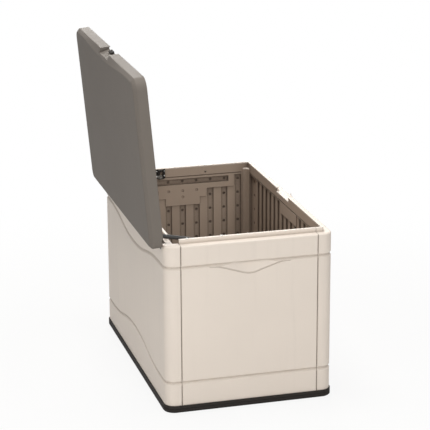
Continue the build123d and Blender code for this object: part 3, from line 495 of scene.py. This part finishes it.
class ScrewLook(bpy.types.PropertyGroup):
    """The heads of all the screws."""

    colour: bpy.props.FloatVectorProperty(
        name="Colour",
        description="Colour of the steel",
        subtype="COLOR",
        size=3,
        min=0,
        max=1,
        default=tone(196, 195, 192),
    )
    recess_width: bpy.props.FloatProperty(
        name="Recess width",
        description="Width of an arm of the cross, in radii",
        min=0,
        max=1,
        default=0.26,
    )
    recess_reach: bpy.props.FloatProperty(
        name="Recess reach",
        description="Reach of an arm of the cross, in radii",
        min=0,
        max=1,
        default=0.56,
    )
    recess_depth: bpy.props.FloatProperty(
        name="Recess depth",
        description="Depth of the cross, in heights of the head",
        min=0,
        max=1,
        default=0.6,
    )
    recess_taper: bpy.props.FloatProperty(
        name="Recess taper", description="Size of the cross at its floor", min=0, max=1, default=0.72
    )
    crown: bpy.props.FloatProperty(
        name="Crown", description="Fall of the dome, in heights", min=0, max=1, default=0.3
    )
    turn: bpy.props.FloatProperty(
        name="Turn", description="Turn from one screw to the next", subtype="ANGLE", default=0.7
    )


class LampLook(bpy.types.PropertyGroup):
    """One soft box."""

    place: bpy.props.FloatVectorProperty(
        name="Place", description="Where it hangs", subtype="XYZ", unit="LENGTH"
    )
    aim: bpy.props.FloatVectorProperty(
        name="Aim", description="What it points at", subtype="XYZ", unit="LENGTH", default=(0.0, 0.0, 0.45)
    )
    width: bpy.props.FloatProperty(
        name="Width", description="Side of the soft box", unit="LENGTH", min=0, default=2.4
    )
    power: bpy.props.FloatProperty(
        name="Power", description="Light it gives", subtype="POWER", min=0
    )


class StudioLook(bpy.types.PropertyGroup):
    """Camera and light."""

    lens: bpy.props.FloatProperty(
        name="Lens", description="Focal length", unit="CAMERA", min=1, default=148.740
    )
    camera_place: bpy.props.FloatVectorProperty(
        name="Camera place",
        description="Where the camera stands",
        subtype="XYZ",
        unit="LENGTH",
        default=(-6.24969, 1.71087, 2.54481),
    )
    camera_yaw: bpy.props.FloatProperty(
        name="Camera yaw", description="Heading from the X axis", subtype="ANGLE", default=-0.26840957
    )
    camera_pitch: bpy.props.FloatProperty(
        name="Camera pitch", description="How far it looks down", subtype="ANGLE", default=0.29497736
    )
    camera_roll: bpy.props.FloatProperty(
        name="Camera roll", description="Tilt of the frame", subtype="ANGLE", default=0.00496156
    )
    sky: bpy.props.FloatProperty(name="Sky", description="Light from all round", min=0, default=0.2)
    key: bpy.props.PointerProperty(name="Key", description="Main lamp", type=LampLook)
    fill: bpy.props.PointerProperty(
        name="Fill", description="Lamp on the hinge side", type=LampLook
    )
    overhead: bpy.props.PointerProperty(
        name="Overhead", description="Lamp above the lid", type=LampLook
    )
    front: bpy.props.PointerProperty(
        name="Front", description="Lamp above the front wall", type=LampLook
    )
    behind: bpy.props.PointerProperty(
        name="Behind", description="Lamp past the far end", type=LampLook
    )
    floor_shadow: bpy.props.FloatProperty(
        name="Floor shadow",
        description="How much of the shadow shows",
        subtype="FACTOR",
        min=0,
        max=1,
        default=0.12,
    )
    floor_fade: bpy.props.FloatVectorProperty(
        name="Floor fade",
        description="Where the shadow starts and stops to fade",
        unit="LENGTH",
        size=2,
        min=0,
        default=(0.7, 2.2),
    )
    floor_colour: bpy.props.FloatVectorProperty(
        name="Floor colour",
        description="Colour of the floor",
        subtype="COLOR",
        size=3,
        min=0,
        max=1,
        default=tone(216, 215, 213),
    )


class BoxLook(bpy.types.PropertyGroup):
    """Everything that can be changed."""

    panels: bpy.props.PointerProperty(
        name="Panels", description="Outer walls, catch and column caps", type=PlasticLook
    )
    liners: bpy.props.PointerProperty(
        name="Liners", description="Inner walls, columns and lid underside", type=PlasticLook
    )
    lid: bpy.props.PointerProperty(name="Lid", description="Lid shell", type=PlasticLook)
    trim: bpy.props.PointerProperty(
        name="Trim", description="Black base, latch tongue and strut brackets", type=PlasticLook
    )
    clips: bpy.props.PointerProperty(
        name="Clips", description="Grey ends of the strut rods", type=PlasticLook
    )
    screws: bpy.props.PointerProperty(
        name="Screws", description="Heads of the screws", type=ScrewLook
    )
    studio: bpy.props.PointerProperty(
        name="Studio", description="Camera and light", type=StudioLook
    )


LOOKS = {
    "liners": {
        "colour": tone(180, 162, 146),
        "worn_colour": tone(190, 175, 160),
        # The liners' painted shade: dark brown in channels, dimples and corners, reaching 9 cm out, so the
        # inside darkens towards its corners
        "dirt_colour": tone(58, 47, 38),
        "dirt": 0.66,
        "dirt_depth": 0.5,
        "dirt_reach": 0.09,
        "roughness": 0.6,
        "gloss": 0.2,
    },
    "lid": {
        "colour": tone(115, 109, 103),
        "worn_colour": tone(146, 139, 131),
        # Colour of the lid's painted shade in its corners and grooves
        "dirt_colour": tone(60, 52, 45),
        "roughness": 0.58,
        "gloss": 0.07,
        "wear": 0.35,
        "scuff": 0.16,
    },
    "trim": {
        "colour": tone(50, 47, 45),
        "worn_colour": tone(58, 55, 51),
        # Colour of the trim's painted shade in its corners and grooves
        "dirt_colour": tone(20, 18, 16),
        "roughness": 0.7,
        "gloss": 0.1,
        "dirt": 0.3,
        "speck": 0.2,
    },
    "clips": {
        "colour": tone(110, 108, 104),
        "worn_colour": tone(160, 158, 154),
        "dirt_colour": tone(50, 46, 42),
        "roughness": 0.45,
        "grain_strength": 0.1,
    },
}


LAMP_COLOUR = tone(255, 253, 250)
LAMPS = {
    "key": {"place": (-4.4, 0.0, 2.5), "power": 85.0},
    "fill": {"place": (-1.9, 2.0, 1.3), "power": 15.0, "width": 0.8, "aim": (-0.4, 0.3, 0.35)},
    "overhead": {"place": (0.2, 0.75, 4.6), "power": 96.0, "width": 1.4, "aim": (0.2, 0.6, 0.45)},
    "front": {"place": (-0.8, -0.8, 4.6), "power": 36.0, "width": 2.0},
    "behind": {"place": (4.4, -0.6, 2.6), "power": 130.0, "width": 2.6, "aim": (0.0, 0.2, 0.9)},
}


# Pieces


class DECKBOX_OT_panels(bpy.types.Operator):
    """Finish the four outer wall panels, the catch on their rim and the caps of the columns"""

    bl_idname = "deckbox.panels"
    bl_label = "Outer panels"

    def execute(self, context):
        names = [n for n in NODES if n.endswith("_panel")] + nodes_named("column_cap")
        coat(moulded_plastic("beige_panels", context.scene.deck_box.panels), "latch_catch", *names)
        return {"FINISHED"}


class DECKBOX_OT_liners(bpy.types.Operator):
    """Finish the inner walls, the corner columns and the lid's underside"""

    bl_idname = "deckbox.liners"
    bl_label = "Inner liners"

    def execute(self, context):
        columns = [n for n in nodes_named("column_") if "cap" not in n]
        names = [n for n in NODES if n.endswith("_liner")] + columns
        coat(moulded_plastic("brown_liners", context.scene.deck_box.liners), *names)
        return {"FINISHED"}


class DECKBOX_OT_lid(bpy.types.Operator):
    """Finish the lid's outer shell"""

    bl_idname = "deckbox.lid"
    bl_label = "Lid shell"

    def execute(self, context):
        coat(moulded_plastic("taupe_lid", context.scene.deck_box.lid), "lid_top")
        return {"FINISHED"}


class DECKBOX_OT_trim(bpy.types.Operator):
    """Finish the black floor tray, the latch tongue and the strut brackets"""

    bl_idname = "deckbox.trim"
    bl_label = "Black trim"

    def execute(self, context):
        names = nodes_named("floor_tray", "latch_tongue", "strut_wall_bracket", "strut_lid_bracket")
        coat(moulded_plastic("black_trim", context.scene.deck_box.trim), *names)
        return {"FINISHED"}


class DECKBOX_OT_clips(bpy.types.Operator):
    """Finish the grey ends of the strut rods"""

    bl_idname = "deckbox.clips"
    bl_label = "Grey clips"

    def execute(self, context):
        coat(moulded_plastic("grey_clips", context.scene.deck_box.clips), *nodes_named("strut_rod_eye"))
        return {"FINISHED"}


class DECKBOX_OT_struts(bpy.types.Operator):
    """Finish the gas struts: painted tubes and bright rods"""

    bl_idname = "deckbox.struts"
    bl_label = "Lid struts"

    def execute(self, context):
        tubes = nodes_named("strut_tube", "strut_guide")
        rods = [n for n in nodes_named("strut_rod", "strut_lid_stud") if "eye" not in n]
        coat(painted_steel("strut_paint", *STRUT_PAINT), *tubes)
        coat(bright_steel("strut_steel", *STRUT_STEEL), *rods)
        return {"FINISHED"}


class DECKBOX_OT_hinges(bpy.types.Operator):
    """Finish the hinge brackets, leaves and pins"""

    bl_idname = "deckbox.hinges"
    bl_label = "Hinges"

    def execute(self, context):
        leaves = [n for n in nodes_named("hinge_bracket", "hinge_leaf") if "screws" not in n]
        coat(painted_steel("hinge_paint", *HINGE_PAINT), *leaves)
        coat(bright_steel("hinge_steel", *HINGE_STEEL), *nodes_named("hinge_pin"))
        return {"FINISHED"}


def islands(node):
    """The separate solids of a CAD node, each as its corners and the way its largest side faces."""
    shape = bmesh.new()
    shape.from_mesh(NODES[node].data)
    bmesh.ops.remove_doubles(shape, verts=shape.verts, dist=WELD)
    left = set(shape.verts)
    solids = []
    while left:
        reached = [left.pop()]
        corners, faces = [], set()
        while reached:
            vert = reached.pop()
            corners.append(vert.co.copy())
            faces.update(vert.link_faces)
            near = {edge.other_vert(vert) for edge in vert.link_edges} & left
            left -= near
            reached.extend(near)
        areas = {}
        for face in faces:
            way = tuple(round(part, 2) for part in face.normal)
            areas[way] = areas.get(way, 0.0) + face.calc_area()
        solids.append((corners, Vector(max(areas, key=areas.get)).normalized()))
    shape.free()
    return solids


def cross_reach(angle, half, reach):
    """How far a cross with arms of a half width and a reach goes from its middle at an angle."""
    along, across = abs(math.cos(angle)), abs(math.sin(angle))
    level = min(reach / max(along, WELD), half / max(across, WELD))
    upright = min(reach / max(across, WELD), half / max(along, WELD))
    return max(level, upright)


def cross_angles(half, reach):
    """Angles round a cross that meet all its corners, with one between each two."""
    corner = math.atan2(half, reach)
    octant = [0.0, corner, (corner + math.pi / 4) / 2]
    quarter = octant + [math.pi / 4] + [math.pi / 2 - a for a in reversed(octant[1:])]
    marks = [a + turn * math.pi / 2 for turn in range(4) for a in quarter]
    angles = []
    for here, after in zip(marks, marks[1:] + [marks[0] + math.tau]):
        angles += [here, (here + after) / 2]
    return angles


def screw_head(shape, look, middle, up, radius, height, turn):
    """Adds a domed head with a cross recess, its flat side on middle."""
    side = up.orthogonal().normalized()
    across = up.cross(side)
    half, reach = radius * look.recess_width / 2, radius * look.recess_reach
    angles = cross_angles(half, reach)
    crown = height * look.crown
    floor = height * (1.0 - look.recess_depth)

    def loop(reach_at, level_at):
        ring = []
        for angle in angles:
            out = reach_at(angle)
            heading = side * math.cos(angle + turn) + across * math.sin(angle + turn)
            ring.append(shape.verts.new(middle + heading * out + up * level_at(out)))
        return ring

    def dome(out):
        return height - crown * (out / radius) ** 2

    def cross(share):
        return lambda angle: cross_reach(angle, half, reach) * share

    def circle(share):
        return lambda angle: radius * share

    def level(value):
        return lambda out: value

    rings = [loop(cross(look.recess_taper), level(floor)), loop(cross(1.0), dome)]
    rings += [loop(circle(share), dome) for share in DOME_RINGS]
    edge = dome(radius * DOME_RINGS[-1])
    rings += [loop(circle(share), level(edge * drop)) for share, drop in EDGE_RINGS]
    rings.append(loop(circle(1.0), level(0.0)))
    count = len(angles)
    shape.faces.new(rings[0])
    for low, high in zip(rings, rings[1:]):
        for i in range(count):
            j = (i + 1) % count
            shape.faces.new((low[i], high[i], high[j], low[j]))
    shape.faces.new(list(reversed(rings[-1])))


class DECKBOX_OT_screws(bpy.types.Operator):
    """Build the screws with cross recesses in place of the plain heads"""

    bl_idname = "deckbox.screws"
    bl_label = "Screws"

    def execute(self, context):
        look = context.scene.deck_box.screws
        steel = bright_steel("screw_steel", tuple(look.colour), SCREW_LINES)
        for node in [n for n in NODES if n.endswith("_screws")]:
            shape = bmesh.new()
            for count, (corners, under) in enumerate(islands(node)):
                up = -under
                low = min(corner.dot(up) for corner in corners)
                high = max(corner.dot(up) for corner in corners)
                middle = sum(corners, Vector()) / len(corners)
                middle += up * (low - middle.dot(up))
                spokes = [corner - middle for corner in corners]
                radius = max((spoke - up * spoke.dot(up)).length for spoke in spokes)
                screw_head(shape, look, middle, up, radius, high - low, count * look.turn)
            bmesh.ops.recalc_face_normals(shape, faces=shape.faces)
            mesh = bpy.data.meshes.new("cross_" + node)
            shape.to_mesh(mesh)
            shape.free()
            mesh.shade_smooth()
            mesh.set_sharp_from_angle(angle=SHARP_ANGLE)
            mesh.materials.append(steel)
            piece = bpy.data.objects.new("cross_" + node, mesh)
            context.scene.collection.objects.link(piece)
            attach(piece, body_of(NODES[node])[0])
            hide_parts(node)
        return {"FINISHED"}


def camera_turn(yaw, pitch, roll):
    """The camera's axes from its heading, its look down and its roll."""
    ahead = Vector((math.cos(yaw) * math.cos(pitch), math.sin(yaw) * math.cos(pitch), -math.sin(pitch)))
    right = Vector((math.sin(yaw), -math.cos(yaw), 0.0))
    down = ahead.cross(right)
    across = right * math.cos(roll) + down * math.sin(roll)
    lower = down * math.cos(roll) - right * math.sin(roll)
    return Matrix((across, -lower, -ahead)).transposed()


def soft_box(name, look):
    """A square lamp that the camera doesn't see."""
    lamp = bpy.data.lights.new(name, "AREA")
    lamp.shape = "SQUARE"
    lamp.size = look.width
    lamp.energy = look.power
    lamp.color = LAMP_COLOUR
    holder = bpy.data.objects.new(name, lamp)
    holder.location = look.place
    holder.rotation_euler = (Vector(look.aim) - Vector(look.place)).to_track_quat("-Z", "Y").to_euler()
    holder.visible_camera = False
    bpy.context.scene.collection.objects.link(holder)


class DECKBOX_OT_stage(bpy.types.Operator):
    """Build the floor, the light and the camera"""

    bl_idname = "deckbox.stage"
    bl_label = "Studio"

    def execute(self, context):
        scene = context.scene
        studio = scene.deck_box.studio
        scene.view_settings.view_transform = "Standard"
        self.floor(scene, studio)
        self.sky(scene, studio)
        for lamp in LAMPS:
            soft_box(lamp + "_lamp", getattr(studio, lamp))
        camera = bpy.data.cameras.new("photo_camera")
        camera.lens = studio.lens
        camera.sensor_width = SENSOR_WIDTH
        camera.sensor_fit = "HORIZONTAL"
        camera.clip_end = VIEW_REACH
        holder = bpy.data.objects.new("photo_camera", camera)
        turn = camera_turn(studio.camera_yaw, studio.camera_pitch, studio.camera_roll)
        holder.matrix_world = Matrix.Translation(studio.camera_place) @ turn.to_4x4()
        scene.collection.objects.link(holder)
        scene.camera = holder
        return {"FINISHED"}

    def floor(self, scene, studio):
        """A pale floor that the camera sees as white, with part of the shadow near the box."""
        mesh = bpy.data.meshes.new("studio_floor")
        shape = bmesh.new()
        bmesh.ops.create_grid(shape, x_segments=FLOOR_CELLS, y_segments=FLOOR_CELLS, size=FLOOR_HALF)
        shape.to_mesh(mesh)
        shape.free()
        floor = bpy.data.objects.new("studio_floor", mesh)
        floor.location.z = CAD_LOW[2] - FLOOR_GAP
        scene.collection.objects.link(floor)
        finish = Finish("pale_floor")
        level = 1.0 - FLOOR_DRIFT + FLOOR_DRIFT * finish.noise(FLOOR_DRIFT_SCALE, detail=3.0)
        finish.set(
            Base_Color=finish.dim(tuple(studio.floor_colour), level),
            Roughness=FLOOR_ROUGHNESS,
            Specular_IOR_Level=FLOOR_GLOSS,
        )
        white = finish.node("ShaderNodeEmission", inputs={"Color": WHITE, "Strength": 1.0})
        away = finish.node("ShaderNodeVectorMath", {"operation": "LENGTH"}, {0: finish.place()}, "Value")
        shadow = (1.0 - away.step(*studio.floor_fade)) * studio.floor_shadow
        shares = {0: finish.seen() * (1.0 - shadow), 1: Field(finish, finish.shader.outputs[0]), 2: white}
        finish.feed(finish.output("Surface"), finish.node("ShaderNodeMixShader", inputs=shares))
        mesh.materials.append(finish.owner)
        floor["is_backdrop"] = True

    def sky(self, scene, studio):
        """A world that the camera sees as white and that lights the box weakly."""
        world = bpy.data.worlds.new("studio_sky")
        sky = Finish(world)
        level = studio.sky + sky.seen() * (1.0 - studio.sky)
        sky.feed(sky.shader.inputs["Strength"], level)
        sky.feed(sky.shader.inputs["Color"], WHITE)
        scene.world = world


OPERATORS = (
    DECKBOX_OT_panels,
    DECKBOX_OT_liners,
    DECKBOX_OT_lid,
    DECKBOX_OT_trim,
    DECKBOX_OT_clips,
    DECKBOX_OT_struts,
    DECKBOX_OT_hinges,
    DECKBOX_OT_screws,
    DECKBOX_OT_stage,
)


class DECKBOX_PT_sidebar(bpy.types.Panel):
    """Lists what can be built"""

    bl_idname = "DECKBOX_PT_sidebar"
    bl_label = "Deck storage box"
    bl_space_type = "VIEW_3D"
    bl_region_type = "UI"
    bl_category = "Deck box"

    def draw(self, context):
        for operator in OPERATORS:
            self.layout.operator(operator.bl_idname)
        for group in ("panels", "liners", "lid", "trim", "clips"):
            look = getattr(context.scene.deck_box, group)
            self.layout.prop(look, "colour", text=group.capitalize())


CLASSES = (PlasticLook, ScrewLook, LampLook, StudioLook, BoxLook, *OPERATORS, DECKBOX_PT_sidebar)


def register():
    for cls in CLASSES:
        bpy.utils.register_class(cls)
    bpy.types.Scene.deck_box = bpy.props.PointerProperty(type=BoxLook)


def unregister():
    del bpy.types.Scene.deck_box
    for cls in reversed(CLASSES):
        bpy.utils.unregister_class(cls)


def set_looks(owner, looks):
    """Sets the groups of a look from a table."""
    for group, values in looks.items():
        for key, value in values.items():
            setattr(getattr(owner, group), key, value)


def main():
    register()
    box_look = bpy.context.scene.deck_box
    set_looks(box_look, LOOKS)
    set_looks(box_look.studio, LAMPS)
    bpy.ops.deckbox.panels()
    bpy.ops.deckbox.liners()
    bpy.ops.deckbox.lid()
    bpy.ops.deckbox.trim()
    bpy.ops.deckbox.clips()
    bpy.ops.deckbox.struts()
    bpy.ops.deckbox.hinges()
    bpy.ops.deckbox.screws()
    bpy.ops.deckbox.stage()


if __name__ == "__main__":
    main()
